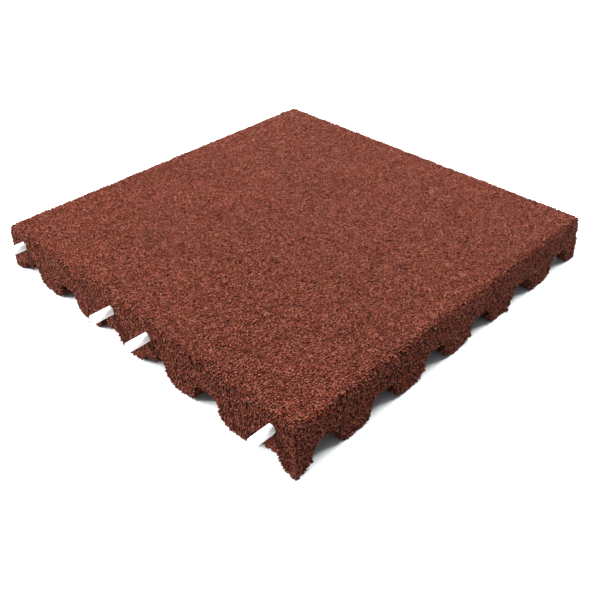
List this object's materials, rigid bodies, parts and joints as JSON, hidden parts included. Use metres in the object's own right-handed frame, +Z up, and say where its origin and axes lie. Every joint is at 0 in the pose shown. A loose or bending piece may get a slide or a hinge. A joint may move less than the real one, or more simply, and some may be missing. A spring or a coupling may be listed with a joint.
{
  "type": "rubber safety tile",
  "caption": "Square impact-absorbing floor tile of bonded rubber granules on a grid of rounded feet, with arched channels below, round connecting pins on one side and matching sockets opposite.",
  "frame": {"origin": "on the floor in the middle of the tile, at the sole of the centre foot", "axes": "+Z up, square to the walking surface; +X from the side with the pins towards the side with the sockets; +Y along the row of pins"},
  "size_m": [0.5226, 0.5, 0.06],
  "materials": {
    "bonded_rubber": "matt, coarse red-brown bonded granules",
    "pin_plastic": "smooth white, slightly satin"
  },
  "bodies": {
    "root": {"tile_body": "bonded_rubber", "connecting_pin_1": "pin_plastic", "connecting_pin_2": "pin_plastic", "connecting_pin_3": "pin_plastic", "connecting_pin_4": "pin_plastic"}
  },
  "joints": []
}
